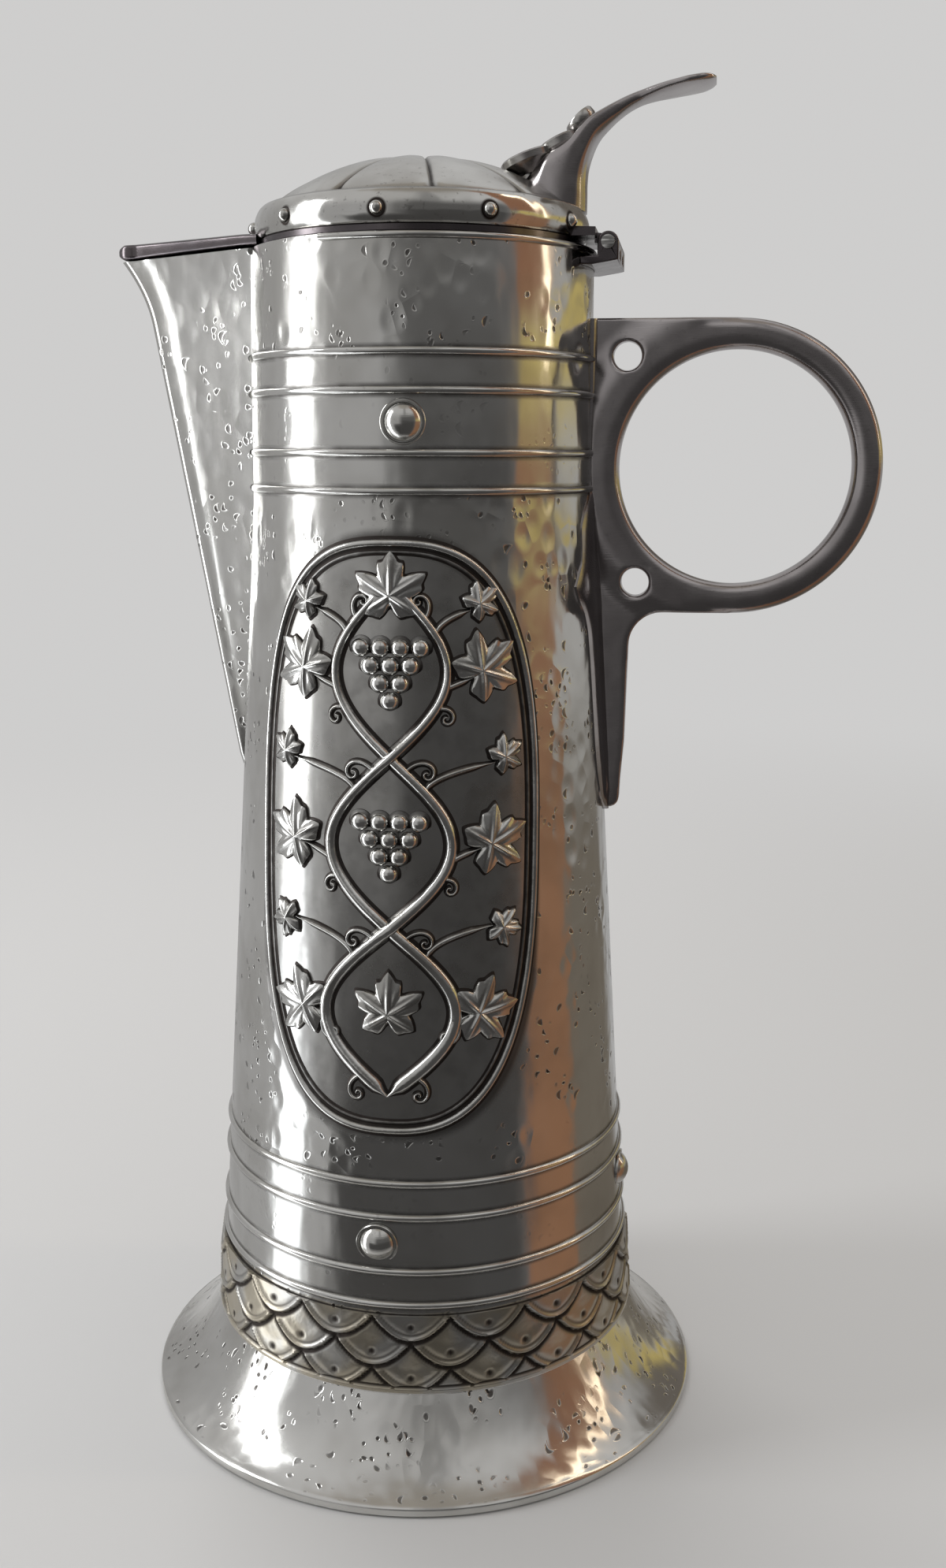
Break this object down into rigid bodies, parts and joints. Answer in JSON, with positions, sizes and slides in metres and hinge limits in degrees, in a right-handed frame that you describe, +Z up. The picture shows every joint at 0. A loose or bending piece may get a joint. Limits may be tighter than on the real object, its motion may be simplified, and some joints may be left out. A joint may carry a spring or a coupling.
{
  "type": "claret jug",
  "caption": "Tall tapering metal claret jug with a beak spout, ring handle, flared foot and a hinged domed lid with a thumbpiece.",
  "frame": {"origin": "the point where the jug's vertical axis meets the plane of the foot", "axes": "+Z up along the jug's axis, -X towards the spout, +X towards the handle, the lid's hinge axis parallel to Y"},
  "size_m": [0.2156, 0.1668, 0.3808],
  "materials": {
    "bright_metal": "polished, hammered, softly worn",
    "hammered_metal": "polished and covered with small hammered dents",
    "dark_metal": "satin with dark patina in the recesses",
    "scale_metal": "satin relief scales, dark in the grooves",
    "relief_metal": "satin relief, dark round its edges",
    "bottom_metal": "dull inner sheet"
  },
  "bodies": {
    "jug": {"body_shell": "hammered_metal", "bottom_plate": "bottom_metal", "foot": "hammered_metal", "scale_band": "dark_metal", "band_scales": "scale_metal", "rim_wire": "bright_metal", "upper_ring_1": "bright_metal", "upper_ring_2": "bright_metal", "upper_ring_3": "bright_metal", "upper_ring_4": "bright_metal", "lower_ring_1": "bright_metal", "lower_ring_2": "bright_metal", "lower_ring_3": "bright_metal", "lower_ring_4": "bright_metal", "upper_bosses": "bright_metal", "lower_bosses": "bright_metal", "vine_border": "relief_metal", "vine_stem_left": "relief_metal", "vine_stem_right": "relief_metal", "vine_leaves": "relief_metal", "grapes_upper": "relief_metal", "grapes_lower": "relief_metal", "spout": "hammered_metal", "handle": "dark_metal", "handle_flange": "dark_metal", "hinge_bracket": "bright_metal", "hinge_pin": "bright_metal"},
    "lid": {"lid_dome": "bright_metal", "lid_band": "bright_metal", "lid_seat": "dark_metal", "lid_locating_ring": "bright_metal", "lid_studs": "bright_metal", "lid_tongue": "dark_metal", "lid_hinge_leaf": "bright_metal", "thumbpiece": "dark_metal", "thumb_scales": "dark_metal"}
  },
  "joints": [
    {"name": "lid_hinge", "type": "hinge", "parent": "jug", "child": "lid", "pos_m": [0.0524, 0, 0.3365], "axis": [0, 1, 0], "range_deg": [0, 75]}
  ]
}
